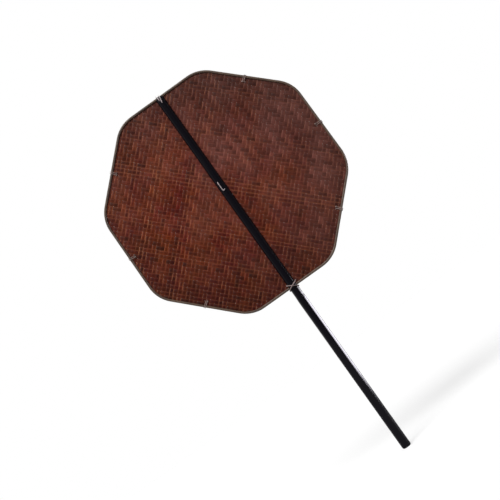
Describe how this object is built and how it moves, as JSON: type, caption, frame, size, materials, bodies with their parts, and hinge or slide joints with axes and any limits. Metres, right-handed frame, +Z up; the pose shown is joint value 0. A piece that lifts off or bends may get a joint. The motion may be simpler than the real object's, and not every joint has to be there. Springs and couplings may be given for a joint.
{
  "type": "hand fan",
  "caption": "Rigid octagonal hand fan: a flat woven blade with a thin tied rim, clamped in a round stick that is slit from its tip.",
  "frame": {"origin": "centre of the stick's butt end", "axes": "+Z up along the stick towards its tip, the blade's front facing -Y, +X to the right seen from the front"},
  "size_m": [0.2518, 0.0151, 0.4515],
  "materials": {
    "black_lacquer": "black lacquer over wood, glossy, with fine grain and light wear",
    "rising_right_strips": "thin split bamboo, dyed red-brown, satin, its tone varying from strip to strip",
    "rising_left_strips": "thin split bamboo, dyed darker red-brown, satin, its tone varying from strip to strip",
    "rim_splint": "half-round bamboo splint, olive brown, satin",
    "thread": "pale grey twisted thread"
  },
  "bodies": {
    "root": {"handle_stick": "black_lacquer", "warp_strips": "rising_right_strips", "weft_strips": "rising_left_strips", "front_rim_splint": "rim_splint", "back_rim_splint": "rim_splint", "top_lashing": "thread", "middle_stitch": "thread", "lower_lashing": "thread", "rim_tie_right": "thread", "rim_tie_upper_right": "thread", "rim_tie_upper_left": "thread", "rim_tie_left": "thread", "rim_tie_lower_left": "thread", "rim_tie_lower_right": "thread"}
  },
  "joints": []
}
